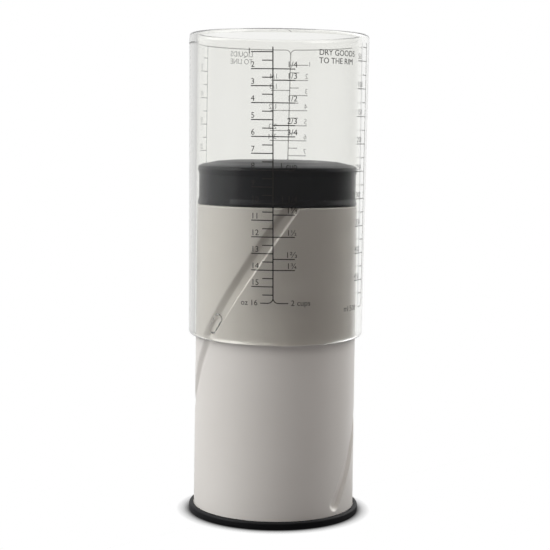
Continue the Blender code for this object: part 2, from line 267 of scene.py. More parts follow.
# Black silicone, compression moulded: dark blue-black, soft satin sheen, a little dust and handling haze.
def makeBlackSilicone():
    material, tree, shader = newMaterial(
        "blackSilicone", IOR=1.41, Specular_IOR_Level=0.3,
        Sheen_Weight=0.02, Sheen_Roughness=0.4, Sheen_Tint=linear("#8C93A3"))
    place = addNode(tree, "ShaderNodeTexCoord")
    haze = addNode(tree, "ShaderNodeTexNoise", {"Vector": place.outputs["Object"], "Scale": 60.0, "Detail": 4.0})
    tint = addNode(tree, "ShaderNodeMix", {
        "Factor": haze.outputs[0], 6: linear("#14151A"), 7: linear("#1D1E24")}, data_type="RGBA")
    satin = addNode(tree, "ShaderNodeMapRange", {"Value": haze.outputs[0], "To Min": 0.32, "To Max": 0.48})
    # skin texture of about 0.5 mm
    skin = addNode(tree, "ShaderNodeTexNoise", {"Vector": place.outputs["Object"], "Scale": 2000.0, "Detail": 2.0})
    bump = addNode(tree, "ShaderNodeBump", {"Height": skin.outputs[0], "Strength": 0.12, "Distance": 0.03 * mm})
    tree.links.new(tint.outputs[2], shader.inputs["Base Color"])
    tree.links.new(satin.outputs[0], shader.inputs["Roughness"])
    tree.links.new(bump.outputs[0], shader.inputs["Normal"])
    return material


# Black thermoplastic elastomer, overmoulded: nearly black and matt, scuffed a little lighter where it rubs.
def makeBlackElastomer():
    material, tree, shader = newMaterial("blackElastomer", IOR=1.5, Specular_IOR_Level=0.2)
    place = addNode(tree, "ShaderNodeTexCoord")
    scuff = addNode(tree, "ShaderNodeTexNoise", {"Vector": place.outputs["Object"], "Scale": 180.0, "Detail": 5.0})
    tint = addNode(tree, "ShaderNodeMix", {
        "Factor": scuff.outputs[0], 6: linear("#050507"), 7: linear("#0D0D10")}, data_type="RGBA")
    matt = addNode(tree, "ShaderNodeMapRange", {"Value": scuff.outputs[0], "To Min": 0.45, "To Max": 0.65})
    grain = addNode(tree, "ShaderNodeTexNoise", {"Vector": place.outputs["Object"], "Scale": 1800.0, "Detail": 2.0})
    bump = addNode(tree, "ShaderNodeBump", {"Height": grain.outputs[0], "Strength": 0.2, "Distance": 0.03 * mm})
    tree.links.new(tint.outputs[2], shader.inputs["Base Color"])
    tree.links.new(matt.outputs[0], shader.inputs["Roughness"])
    tree.links.new(bump.outputs[0], shader.inputs["Normal"])
    return material


# Black screen-printing ink, cured on the plastic: half-matt, a little uneven; one thin pass lets light through.
def makePrintInk(name, cover):
    material, tree, shader = newMaterial(name, IOR=1.5, Alpha=cover)
    place = addNode(tree, "ShaderNodeTexCoord")
    cloud = addNode(tree, "ShaderNodeTexNoise", {"Vector": place.outputs["Object"], "Scale": 900.0, "Detail": 3.0})
    tint = addNode(tree, "ShaderNodeMix", {
        "Factor": cloud.outputs[0], 6: linear("#141210"), 7: linear("#2A2725")}, data_type="RGBA")
    matt = addNode(tree, "ShaderNodeMapRange", {"Value": cloud.outputs[0], "To Min": 0.4, "To Max": 0.6})
    tree.links.new(tint.outputs[2], shader.inputs["Base Color"])
    tree.links.new(matt.outputs[0], shader.inputs["Roughness"])
    return material


clearCopolyester = makeClearCopolyester()
whitePolypropylene = makeWhitePolypropylene()
blackSilicone = makeBlackSilicone()
blackElastomer = makeBlackElastomer()
printInk = makePrintInk("screenPrintInk", 1.0)
thinPrintInk = makePrintInk("thinScreenPrintInk", 0.4)
print("made the materials")


sleeveSizes = {
    "rimRound": 1.7 * mm,
    "footRound": 2.1 * mm,
    "lugReach": 1.0 * mm,              # into the groove
    "lugWidth": 4.1 * mm,
    "lugLength": 9.4 * mm,
    "lugEdge": 0.3 * mm,
    "lugRows": (7 * mm, 0.35 * mm),    # rows of faces: how far above and below a lug, and how close
    "lugColumns": (9, 0.45, 1.25),     # degrees: how far beside a lug, the step there and the step elsewhere
}


def lugShape(azimuth, r, z):
    s = sleeveSizes
    result = r.copy()
    inner = r < cup["boreRadius"] + 0.01 * mm
    rise = z - cup["lugHeight"]
    for middle in lugAzimuths():
        arc = arcFrom(middle, azimuth)
        along = arc * math.cos(cup["lean"]) + rise * math.sin(cup["lean"])
        across = rise * math.cos(cup["lean"]) - arc * math.sin(cup["lean"])
        beyond = np.maximum(np.abs(along) - (s["lugLength"] - s["lugWidth"]) / 2, 0)   # past the straight sides
        away = np.hypot(across, beyond)
        lift = 1 - smoothStep(s["lugWidth"] / 2 - s["lugEdge"], s["lugWidth"] / 2 + s["lugEdge"], away)
        result -= np.where(inner, s["lugReach"] * lift, 0)
    return result


def makeSleeve():
    s = sleeveSizes
    low, high = cup["footHeight"], cup["rimHeight"]
    path = roundedPath([
        (cup["boreRadius"], high, s["rimRound"]),
        (cup["rimRadius"], high, s["rimRound"]),
        (cup["footRadius"], low, s["footRound"]),
        (cup["boreRadius"], low, 0.5 * mm),
    ], steps=8)
    reach, step = s["lugRows"]
    path = withRows(path, cup["lugHeight"] - reach, cup["lugHeight"] + reach, step, "inner")
    mesh = turnedMesh("measuringSleeve", path, finerNear(lugAzimuths(), *s["lugColumns"]), lugShape)
    showPiece("measuringSleeve", mesh, clearCopolyester, "sleeve", "clear_plastic", "measuring_sleeve")


makeSleeve()


tubeSizes = {
    "topRadius": 35.8 * mm,
    "footRadius": 36.35 * mm,
    "flangeRadius": tubeHigh[0],
    "flangeHeight": 0.8 * mm,
    "bore": 32.6 * mm,
    "plateSeat": 33.4 * mm,
    "plateSeatHeight": 3.3 * mm,
    "neckRadius": 32.8 * mm,
    "neckBore": 30.2 * mm,
    "shoulderRound": 0.5 * mm,
    "grooveFloor": 34.6 * mm,
    "grooveEnd": 8.0 * mm,             # centre of the groove's round lower end
    "upperWall": 1.9 * mm,             # half the width of the groove's gentle upper wall
    "lowerWall": 0.5 * mm,             # and of the steep one that carries the lug
    "endRows": (15 * mm, 0.35 * mm),   # rows of faces: up to what height they are close, and how close
    "wallRows": 1.8 * mm,              # their step above that
    "columns": (8.6, 0.28, 2.0),       # degrees: how far beside a groove, the step there and the step elsewhere
}


def grooveShape(column, r, z):
    # the mesh is twisted with the groove, so each groove stands at one column, 0 or 180
    s = tubeSizes
    depth = np.zeros_like(r)
    rise = z - s["grooveEnd"]
    slope = math.tan(cup["lean"])
    half = cup["grooveWidth"] / 2
    for middle in (0, 180):
        arc = arcFrom(middle, column)
        along = (rise / slope + arc) * math.cos(cup["lean"]) + rise * math.sin(cup["lean"])
        across = arc * math.sin(cup["lean"])
        away = np.hypot(across, np.minimum(along, 0))
        lower = 0.5 + 0.5 * across / np.maximum(away, 0.001 * mm)   # 0 on the upper side, 1 on the lower
        wall = s["upperWall"] + (s["lowerWall"] - s["upperWall"]) * lower
        depth += 1 - smoothStep(half - wall, half + wall, away)
    return r - np.maximum(r - s["grooveFloor"], 0) * depth


def makeTube():
    s = tubeSizes
    low, high = tubeLow[2], tubeHigh[2]
    shoulder = cup["shoulder"]
    path = roundedPath([
        (s["neckRadius"], high, 0.4 * mm),
        (s["neckRadius"], high - 3.5 * mm, 0.5 * mm),
        (s["neckRadius"] + 0.5 * mm, high - 4.5 * mm, 0.3 * mm),
        (s["neckRadius"], high - 5.5 * mm, 0.5 * mm),
        (s["neckRadius"], shoulder, 0.3 * mm),
        (s["topRadius"], shoulder, s["shoulderRound"]),
        (s["footRadius"], low + s["flangeHeight"], 0.15 * mm),
        (s["flangeRadius"], low + s["flangeHeight"], 0.2 * mm),
        (s["flangeRadius"], low, 0.2 * mm),
        (s["plateSeat"], low, 0.3 * mm),
        (s["plateSeat"], low + s["plateSeatHeight"], 0.1 * mm),
        (s["bore"], low + s["plateSeatHeight"], 0.2 * mm),
        (s["bore"], shoulder - 6 * mm, 2.0 * mm),
        (s["neckBore"], shoulder - 3 * mm, 2.0 * mm),
        (s["neckBore"], high, 0.4 * mm),
    ], steps=4)
    endTop, endStep = s["endRows"]
    path = withRows(path, 0, endTop, endStep, "outer")
    path = withRows(path, endTop, shoulder, s["wallRows"], "outer")
    twist = 360 / cup["lead"]
    start = cup["grooveAtFront"] * twist   # turns column 0 on to the first groove
    columns = [column - start for column in finerNear((0, 180), *s["columns"])]
    mesh = turnedMesh("plungerTube", path, columns, lambda column, r, z: grooveShape(column + start, r, z), twist)
    showPiece("plungerTube", mesh, whitePolypropylene, "plunger", "white_plastic", "plunger_tube")


makeTube()


headSizes = {"spigot": 29.9 * mm, "wall": 2.0 * mm, "rimRadius": 32.8 * mm}


def makeHead():
    s = headSizes
    low, high = headLow[2], headHigh[2]
    seat = tubeHigh[2] + 0.3 * mm
    path = roundedPath([
        (0, high, 0),
        (20.0 * mm, high - 0.4 * mm, 8 * mm),
        (27.5 * mm, high - 1.0 * mm, 4 * mm),
        (s["rimRadius"], seat + 1.7 * mm, 0.8 * mm),
        (s["rimRadius"], seat, 0.3 * mm),
        (s["spigot"], seat, 0.2 * mm),
        (s["spigot"], low, 0.5 * mm),
        (s["spigot"] - s["wall"], low, 0.5 * mm),
        (s["spigot"] - s["wall"], seat + 1.0 * mm, 1.5 * mm),
        (0, seat + 2.4 * mm, 0),
    ], steps=5)
    mesh = turnedMesh("plungerHead", path, evenAzimuths(160), closed=False)
    showPiece("plungerHead", mesh, whitePolypropylene, "plunger", "white_plastic", "plunger_head")


plateSizes = {"ringRadius": 14 * mm, "ringWidth": 1.2 * mm, "ringRise": 0.3 * mm, "gateRadius": 1.6 * mm}


def makeBasePlate():
    s = plateSizes
    low, high, radius = plateLow[2], plateHigh[2], plateHigh[0]
    floor = high - 1.6 * mm
    path = roundedPath([
        (0, high, 0),
        (radius, high, 0.3 * mm),
        (radius, low, 0.4 * mm),
        (radius - 1.8 * mm, low, 0.4 * mm),
        (radius - 2.6 * mm, floor, 0.6 * mm),
        (s["ringRadius"] + s["ringWidth"], floor, 0.1 * mm),
        (s["ringRadius"] + s["ringWidth"] * 0.8, floor - s["ringRise"], 0.1 * mm),
        (s["ringRadius"] + s["ringWidth"] * 0.2, floor - s["ringRise"], 0.1 * mm),
        (s["ringRadius"], floor, 0.1 * mm),
        (s["gateRadius"] * 2, floor, 0.1 * mm),
        (s["gateRadius"], floor + 0.5 * mm, 0.2 * mm),
        (0, floor + 0.5 * mm, 0),
    ], steps=4)
    mesh = turnedMesh("basePlate", path, evenAzimuths(160), closed=False)
    showPiece("basePlate", mesh, whitePolypropylene, "plunger", "white_plastic", "base_plate")


makeHead()
makeBasePlate()


sealSizes = {
    "wall": 35.1 * mm,
    "lip": 35.6 * mm,                  # the wiper lip round its foot
    "lipTop": 4.0 * mm,                # above the foot
    "shoulder": 35.7 * mm,             # the rounded upper edge
    "bore": 33.1 * mm,
    "neckTop": 154.2 * mm,             # the inside, over the head's dome: radius, height, rounding
    "crownInside": ((27.7 * mm, 156.55 * mm, 3.0 * mm), (20.0 * mm, 157.15 * mm, 8.0 * mm), (0, 157.55 * mm, 0)),
    "notch": 13.0 * mm,                # the lower lip is cut away here, so that a lug can pass
    "notchEdge": 0.5 * mm,
    "notchSide": 10.2,                 # degrees from a notch's middle to its edge
    "notchColumns": (1.2, 0.25, 1.5),  # degrees: how far beside that edge, the step there and the step elsewhere
}


def notchShape(azimuth, r, z):
    s = sealSizes
    result = r.copy()
    lowerLip = z < sealLow[2] + s["lipTop"]
    for middle in lugAzimuths():
        arc = np.abs(arcFrom(middle, azimuth))
        cut = 1 - smoothStep(s["notch"] / 2 - s["notchEdge"], s["notch"] / 2 + s["notchEdge"], arc)
        result -= np.where(lowerLip, np.maximum(r - s["wall"], 0) * cut, 0)
    return result


def makeSeal():
    s = sealSizes
    low, high = sealLow[2], sealHigh[2]
    edge = cup["sealEdge"]
    bead = tubeHigh[2] - 4.5 * mm
    path = roundedPath([
        (0, high, 0),
        (20.0 * mm, high - 0.2 * mm, 8.0 * mm),
        (27.0 * mm, high - 0.7 * mm, 6.0 * mm),
        (33.6 * mm, edge + 1.7 * mm, 1.6 * mm),
        (s["shoulder"] - 0.3 * mm, edge + 1.0 * mm, 0.8 * mm),
        (s["shoulder"], edge - 0.6 * mm, 0.8 * mm),
        (s["wall"], edge - 2.8 * mm, 1.5 * mm),
        (s["wall"], low + 3.0 * mm, 2.5 * mm),
        (s["lip"], low + 1.0 * mm, 0.5 * mm),
        (s["lip"], low, 0.2 * mm),
        (s["bore"], low, 0.3 * mm),
        (s["bore"], bead - 1.1 * mm, 0.3 * mm),
        (s["bore"] + 0.5 * mm, bead, 0.3 * mm),
        (s["bore"], bead + 1.1 * mm, 0.3 * mm),
        (s["bore"], s["neckTop"], 0.6 * mm),
        *s["crownInside"],
    ], steps=6)
    edges = [(middle + side) % 360 for middle in lugAzimuths() for side in (-s["notchSide"], s["notchSide"])]
    columns = finerNear(edges, *s["notchColumns"])
    mesh = turnedMesh("plungerSeal", path, columns, notchShape, closed=False)
    showPiece("plungerSeal", mesh, blackSilicone, "seal", "black_silicone", "plunger_seal")


makeSeal()


ringSizes = {
    "lipBore": 36.65 * mm,
    "channel": 37.55 * mm,             # takes the tube's flange, between the floor and the channel's top
    "floor": 1.3 * mm,
    "channelTop": 2.7 * mm,
    "bore": 34.0 * mm,
    "soleInside": 34.8 * mm,
}


def makeFootRing():
    s = ringSizes
    low, top, outer = ringLow[2], ringHigh[2], ringHigh[0]
    path = roundedPath([
        (s["lipBore"], top, 0.3 * mm),
        (outer, top, 1.1 * mm),
        (outer, low, 0.7 * mm),
        (s["soleInside"], low, 0.3 * mm),
        (s["bore"], s["floor"], 0.2 * mm),
        (s["channel"], s["floor"], 0.1 * mm),
        (s["channel"], s["channelTop"], 0.1 * mm),
        (s["lipBore"], s["channelTop"], 0.1 * mm),
    ], steps=6)
    mesh = turnedMesh("footRing", path, evenAzimuths(240))
    showPiece("footRing", mesh, blackElastomer, "plunger", "black_rubber", "foot_ring")


makeFootRing()


inkSizes = {
    "gap": 0.03 * mm,                  # above the plastic
    "thickness": 0.06 * mm,
    "line": 0.42 * mm,
    "spine": 0.5 * mm,                 # a scale's upright line
    "spineAbove": 2.1 * mm,            # how far it goes above the first mark, where it ends free
    "longMark": 9.4 * mm,
    "shortMark": 4.6 * mm,
    "digits": 3.5 * mm,                # type size
    "words": 3.4 * mm,
    "caption": 3.5 * mm,
    "captionStep": 3.4 * mm,
    "aboveMark": 0.7 * mm,             # from a mark up to the number over it
    "belowLine": 1.0 * mm,             # from a scale's last line down to the foot of its words
    "flare": 2.3 * mm,                 # radius where a scale's line bends out at its end
    "skew": 19.5,                      # the print drifts round the sleeve, in degrees for each metre down
}

# azimuth of a scale's upright line, and height of its zero
scales = {
    "dryOunce": (-4.0, cup["rimHeight"] - 2.8 * mm),      # lower than the rim, to make up for the seal's dome
    "dryMillilitre": (72.0, cup["rimHeight"] - 0.2 * mm),
    "liquidOunce": (171.6, cup["rimHeight"] - 4.7 * mm),
    "liquidMillilitre": (244.6, cup["rimHeight"] - 4.2 * mm),
}
fillLine = ((113.0, 167.4), (175.8, 293.0))               # from and to, at the liquid ounce scale's zero

# azimuth, height of the first line, and the lines
dryCaption = (24.6, 204.2 * mm, ("DRY GOODS", "TO THE RIM"))
liquidCaption = (199.0, 206.6 * mm, ("LIQUIDS", "TO LINE"))


def printRadius(height):
    return cup["footRadius"] + cup["draft"] * (height - cup["footHeight"]) + inkSizes["gap"]


def makeMarkTree():
    # a row of level marks, one below the other, bent round the sleeve
    tree = bpy.data.node_groups.new("scaleMarks", "GeometryNodeTree")
    tree.interface.new_socket("Geometry", in_out="OUTPUT", socket_type="NodeSocketGeometry")
    for name, kind in (
        ("First Height", "Float"), ("Spacing", "Float"), ("Count", "Int"), ("Start", "Float"), ("Length", "Float"),
        ("Line Width", "Float"), ("Thickness", "Float"), ("Azimuth", "Float"), ("Radius At Zero", "Float"),
        ("Draft", "Float"), ("Skew", "Float"), ("Rim", "Float"), ("Ink", "Material"),
    ):
        tree.interface.new_socket(name, in_out="INPUT", socket_type="NodeSocket" + kind)
    given = addNode(tree, "NodeGroupInput").outputs

    def maths(operation, a, b=0.0):
        return addNode(tree, "ShaderNodeMath", {0: a, 1: b}, operation=operation).outputs[0]

    def joined(x, y, z):
        return addNode(tree, "ShaderNodeCombineXYZ", {0: x, 1: y, 2: z}).outputs[0]

    line = addNode(tree, "GeometryNodeMeshLine", {
        "Count": given["Count"],
        "Start Location": joined(0.0, 0.0, given["First Height"]),
        "Offset": joined(0.0, 0.0, maths("MULTIPLY", given["Spacing"], -1.0)),
    })
    mark = addNode(tree, "GeometryNodeMeshCube", {
        "Size": joined(given["Length"], given["Thickness"], given["Line Width"]), "Vertices X": 8})
    centre = maths("ADD", given["Start"], maths("MULTIPLY", given["Length"], 0.5))
    moved = addNode(tree, "GeometryNodeTransform", {
        "Geometry": mark.outputs["Mesh"], "Translation": joined(centre, 0.0, 0.0)})
    rows = addNode(tree, "GeometryNodeInstanceOnPoints", {
        "Points": line.outputs["Mesh"], "Instance": moved.outputs["Geometry"]})
    real = addNode(tree, "GeometryNodeRealizeInstances", {"Geometry": rows.outputs["Instances"]})
    flat = addNode(tree, "ShaderNodeSeparateXYZ", {0: addNode(tree, "GeometryNodeInputPosition").outputs[0]}).outputs
    wall = maths("ADD", given["Radius At Zero"], maths("MULTIPLY", given["Draft"], flat["Z"]))
    half = maths("MULTIPLY", given["Thickness"], 0.5)
    radius = maths("SUBTRACT", maths("ADD", wall, half), flat["Y"])
    drift = maths("MULTIPLY", given["Skew"], maths("SUBTRACT", given["Rim"], flat["Z"]))
    angle = maths("ADD", maths("ADD", given["Azimuth"], drift), maths("DIVIDE", flat["X"], radius))
    x = maths("MULTIPLY", radius, maths("SINE", angle))
    y = maths("MULTIPLY", maths("MULTIPLY", radius, maths("COSINE", angle)), -1.0)
    bent = addNode(tree, "GeometryNodeSetPosition", {
        "Geometry": real.outputs["Geometry"], "Position": joined(x, y, flat["Z"])})
    inked = addNode(tree, "GeometryNodeSetMaterial", {
        "Geometry": bent.outputs["Geometry"], "Material": given["Ink"]})
    addNode(tree, "NodeGroupOutput", {"Geometry": inked.outputs["Geometry"]})
    return tree


markTree = makeMarkTree()


def markRow(drawing, azimuth, first, spacing, count, start, length):
    values = {
        "First Height": first, "Spacing": spacing, "Count": count, "Start": start, "Length": length,
        "Line Width": inkSizes["line"], "Thickness": inkSizes["thickness"], "Azimuth": math.radians(azimuth),
        "Radius At Zero": printRadius(0.0), "Draft": cup["draft"], "Skew": math.radians(inkSizes["skew"]),
        "Rim": cup["rimHeight"], "Ink": printInk,
    }
    holder = bpy.data.objects.new("marks", bpy.data.meshes.new("marks"))
    bpy.context.scene.collection.objects.link(holder)
    modifier = holder.modifiers.new("marks", "NODES")
    modifier.node_group = markTree
    for item in markTree.interface.items_tree:
        if item.in_out == "INPUT":
            modifier[item.identifier] = values[item.name]
    graph = bpy.context.evaluated_depsgraph_get()
    mesh = bpy.data.meshes.new_from_object(holder.evaluated_get(graph))
    drawing.from_mesh(mesh)
    bpy.data.objects.remove(holder)
    bpy.data.meshes.remove(mesh)


def bendRound(mesh, azimuth):
    # a flat drawing: x along the wall, y up to its real height, z out of the wall
    for vert in mesh.vertices:
        x, height, out = vert.co
        radius = printRadius(height) + inkSizes["thickness"] / 2 + out
        drift = inkSizes["skew"] * (cup["rimHeight"] - height)
        angle = math.radians(azimuth + drift) + x / radius
        vert.co = (radius * math.sin(angle), -radius * math.cos(angle), height)


def words(drawing, text, azimuth, height, size, align="LEFT", x=0.0, narrow=1.0):
    curve = bpy.data.curves.new("words", "FONT")
    curve.body = text
    curve.size = size
    curve.align_x = align
    curve.extrude = inkSizes["thickness"] / 2
    curve.resolution_u = 3
    holder = bpy.data.objects.new("words", curve)
    bpy.context.scene.collection.objects.link(holder)
    graph = bpy.context.evaluated_depsgraph_get()
    mesh = bpy.data.meshes.new_from_object(holder.evaluated_get(graph))
    bpy.data.objects.remove(holder)
    mesh.transform(Matrix.Translation((x, height, 0)) @ Matrix.Diagonal((narrow, 1, 1, 1)))
    bendRound(mesh, azimuth)
    drawing.from_mesh(mesh)
    bpy.data.meshes.remove(mesh)


def inkLine(drawing, points, azimuth, width):
    # a ribbon of ink along points in a flat drawing
    half, deep = width / 2, inkSizes["thickness"] / 2
    mesh = bpy.data.meshes.new("line")
    ribbon = bmesh.new()
    rings = []
    for i, point in enumerate(points):
        along = (points[min(i + 1, len(points) - 1)] - points[max(i - 1, 0)]).normalized()
        side = Vector((-along.y, along.x)) * half
        corners = [(point + side, -deep), (point - side, -deep), (point - side, deep), (point + side, deep)]
        rings.append([ribbon.verts.new((c.x, c.y, out)) for c, out in corners])
    for a, b in zip(rings, rings[1:]):
        for k in range(4):
            ribbon.faces.new((a[k], a[(k + 1) % 4], b[(k + 1) % 4], b[k]))
    ribbon.faces.new(rings[0])
    ribbon.faces.new(rings[-1])
    bmesh.ops.recalc_face_normals(ribbon, faces=ribbon.faces)
    ribbon.to_mesh(mesh)
    ribbon.free()
    bendRound(mesh, azimuth)
    drawing.from_mesh(mesh)
    bpy.data.meshes.remove(mesh)


def flareEnd(drawing, azimuth, height, side, up, run):
    # a quarter bend from the scale's upright line out to the level, then a short level run
    r = inkSizes["flare"]
    points = []
    for k in range(9):
        turn = math.pi / 2 * k / 8
        points.append(Vector((side * r * (1 - math.cos(turn)), height - up * r * (1 - math.sin(turn)))))
    for k in range(1, 5):
        points.append(Vector((side * (r + run * k / 4), height)))
    inkLine(drawing, points, azimuth, inkSizes["line"])


def spine(drawing, azimuth, low, high):
    inkLine(drawing, [Vector((0, high)), Vector((0, (low + high) / 2)), Vector((0, low))], azimuth, inkSizes["spine"])


def ounceSide(drawing, azimuth, zero):
    mark = cup["ounce"]
    long, short = inkSizes["longMark"], inkSizes["shortMark"]
    markRow(drawing, azimuth, zero - mark, mark, 15, -long, long)
    markRow(drawing, azimuth, zero - 1.5 * mark, mark, 15, -short, short)
    for n in range(1, 16):
        # the first number stands beside its mark, clear of the rim
        x, rise = (-long - 1.6 * mm, -0.8 * mm) if n == 1 else (-long - 0.1 * mm, inkSizes["aboveMark"])
        words(drawing, str(n), azimuth, zero - n * mark + rise, inkSizes["digits"], x=x)


def cupSide(drawing, azimuth, zero):
    mark = cup["ounce"]
    long = inkSizes["longMark"]
    third = 8 / 3   # a third of a cup, in ounces
    for first, spacing, count in ((2, 2, 7), (third, third, 2), (8 + third, third, 2)):
        markRow(drawing, azimuth, zero - first * mark, spacing * mark, count, 0.0, long)
    labels = {2: "1/4", third: "1/3", 4: "1/2", 2 * third: "2/3", 6: "3/4", 8: "1 cup", 10: "1 1/4",
              8 + third: "1\u2153", 12: "1\u00bd", 8 + 2 * third: "1\u2154", 14: "1\u00be"}
    for n, text in labels.items():
        height = zero - n * mark + inkSizes["aboveMark"]
        words(drawing, text, azimuth, height, inkSizes["digits"], "RIGHT", long + 1.0 * mm)


def millilitreSide(drawing, azimuth, zero, side):
    mark = 25 * cup["millilitre"]
    long, short = inkSizes["longMark"], inkSizes["shortMark"]
    start = {1: (0.0, 0.0), -1: (-long, -short)}[side]
    markRow(drawing, azimuth, zero - 2 * mark, 2 * mark, 9, start[0], long)
    markRow(drawing, azimuth, zero - mark, 2 * mark, 10, start[1], short)
    for n in range(50, 500, 50):
        height = zero - n * cup["millilitre"] + inkSizes["aboveMark"]
        align = "RIGHT" if side > 0 else "LEFT"
        words(drawing, str(n), azimuth, height, inkSizes["digits"], align, side * (long + 0.1 * mm), 0.9)


def showScale(name, drawing, node, ink):
    mesh = bpy.data.meshes.new(name)
    bmesh.ops.remove_doubles(drawing, verts=drawing.verts, dist=0.0005 * mm)
    drawing.to_mesh(mesh)
    drawing.free()
    showPiece(name, mesh, ink, "sleeve", "black_ink", node)


def makeOunceScale(azimuth, zero, joinTop):
    drawing = bmesh.new()
    ounceSide(drawing, azimuth, zero)
    cupSide(drawing, azimuth, zero)
    bottom = zero - 16 * cup["ounce"]
    flare = inkSizes["flare"]
    top = zero - flare if joinTop else zero - cup["ounce"] + inkSizes["spineAbove"]
    spine(drawing, azimuth, bottom + flare, top)
    for side, run in ((-1, 3.2 * mm), (1, 4.2 * mm)):
        flareEnd(drawing, azimuth, bottom, side, -1, run)
        if joinTop:
            flareEnd(drawing, azimuth, zero, side, 1, 0.6 * mm)
    height, size = bottom - inkSizes["belowLine"], inkSizes["words"]
    words(drawing, "oz 16", azimuth, height, size, "RIGHT", -6.6 * mm)
    words(drawing, "2 cups", azimuth, height, size, "LEFT", 7.6 * mm)
    return drawing


def makeMillilitreScale(azimuth, zero, side, joinTop):
    drawing = bmesh.new()
    millilitreSide(drawing, azimuth, zero, side)
    bottom = zero - 500 * cup["millilitre"]
    top = zero if joinTop else zero - 25 * cup["millilitre"] + inkSizes["spineAbove"]
    flare = inkSizes["flare"]
    spine(drawing, azimuth, bottom + flare, top)
    flareEnd(drawing, azimuth, bottom, side, -1, 2.4 * mm)
    text, align = ("ml 500", "RIGHT") if side < 0 else ("500 ml", "LEFT")
    x = side * (5.6 if joinTop else 8.2) * mm
    words(drawing, text, azimuth, bottom - inkSizes["belowLine"], inkSizes["words"], align, x)
    return drawing


def captionLines(drawing, azimuth, height, lines):
    for i, text in enumerate(lines):
        words(drawing, text, azimuth, height - i * inkSizes["captionStep"], inkSizes["caption"])


def makePrint():
    drawing = makeOunceScale(*scales["dryOunce"], False)
    captionLines(drawing, *dryCaption)
    showScale("dryOunceScale", drawing, "dry_ounce_and_cup_scale", printInk)

    drawing = makeMillilitreScale(*scales["dryMillilitre"], -1, False)
    showScale("dryMillilitreScale", drawing, "dry_millilitre_scale", thinPrintInk)

    drawing = makeOunceScale(*scales["liquidOunce"], True)
    captionLines(drawing, *liquidCaption)
    showScale("liquidOunceScale", drawing, "liquid_ounce_and_cup_scale", thinPrintInk)

    drawing = makeMillilitreScale(*scales["liquidMillilitre"], 1, True)
    showScale("liquidMillilitreScale", drawing, "liquid_millilitre_scale", thinPrintInk)

    drawing = bmesh.new()
    height = scales["liquidOunce"][1]
    for start, end in fillLine:
        reach = math.radians(end - start) * printRadius(height)
        points = [Vector((reach * k / 60, height)) for k in range(61)]
        inkLine(drawing, points, start, inkSizes["line"])
    showScale("liquidFillLine", drawing, "liquid_fill_line", thinPrintInk)


makePrint()


warmDim = (0.08, 0.045, 0.022)   # the dim warm room behind the viewer

studioSizes = {
    "floorReach": 20,                    # metres from the cup to the floor's edge
    "floorDrop": 0.05 * mm,              # keeps the floor clear of the foot ring
    "floorBounce": (0.1, 0.095, 0.1, 1),
    "paintedContactShadow": 6 * mm,                   # how far the painted shadow under the foot ring spreads
    "paintedShadowDarkness": 3.4,
    "top": 2.0,                          # brightness overhead
    "brightest": 4.2,
    # sines of the elevations between which one part of the room passes into the next
    "lowToHigh": (0.08, 0.26),
    "highToTop": (0.7, 0.92),
    "backdropTop": 0.25,
    "aboveBackdrop": 0.7,
    # brightness by azimuth, above: two raised soft lights stand at -70 and at 118 degrees
    "high": [
        (-180, 1.0), (-115, 1.1), (-100, 1.9), (-82, 3.6), (-58, 3.8), (-46, 1.7), (-34, 0.15), (-15, warmDim),
        (66, warmDim), (80, 0.4), (96, 1.8), (110, 3.6), (124, 3.6), (138, 2.1), (150, 1.2), (180, 1.0),
    ],
    # and at the level of the cup, and for the painted glow of the floor round it, as the cup mirrors it
    "low": [
        (-180, 1.0), (-150, 0.75), (-130, 0.6), (-110, 0.5), (-73, 0.36), (-60, 0.3), (-48, 0.14), (-36, 0.12),
        (-15, 0.11), (60, 0.09), (80, 0.07), (95, 0.1), (113, 0.22), (130, 0.95), (180, 1.0),
    ],
}


def seenDirectly(tree):
    # 1 for what is looked at, also through the clear wall, and 0 for what only lights or is mirrored in the cup
    ray = addNode(tree, "ShaderNodeLightPath").outputs
    bounces = addNode(tree, "ShaderNodeMath", {0: ray["Diffuse Depth"], 1: ray["Glossy Depth"]}, operation="ADD")
    return addNode(tree, "ShaderNodeMath", {0: bounces.outputs[0], 1: 0.5}, operation="LESS_THAN").outputs[0]


def brightnessRound(tree, parts, stops, scale):
    # looks a brightness up by the azimuth of a place or direction
    front = addNode(tree, "ShaderNodeMath", {0: parts["Y"], 1: -1.0}, operation="MULTIPLY")
    turn = addNode(tree, "ShaderNodeMath", {0: parts["X"], 1: front.outputs[0]}, operation="ARCTAN2")
    around = addNode(tree, "ShaderNodeMapRange", {
        "Value": turn.outputs[0], "From Min": -math.pi, "From Max": math.pi})
    ramp = addNode(tree, "ShaderNodeValToRGB", {"Fac": around.outputs[0]})
    elements = ramp.color_ramp.elements
    for azimuth, _ in stops[1:-1]:
        elements.new((azimuth + 180) / 360)
    for i, (_, value) in enumerate(stops):
        colour = value if isinstance(value, tuple) else (value,) * 3
        elements[i].color = [c * scale for c in colour] + [1]
    return ramp.outputs["Color"]


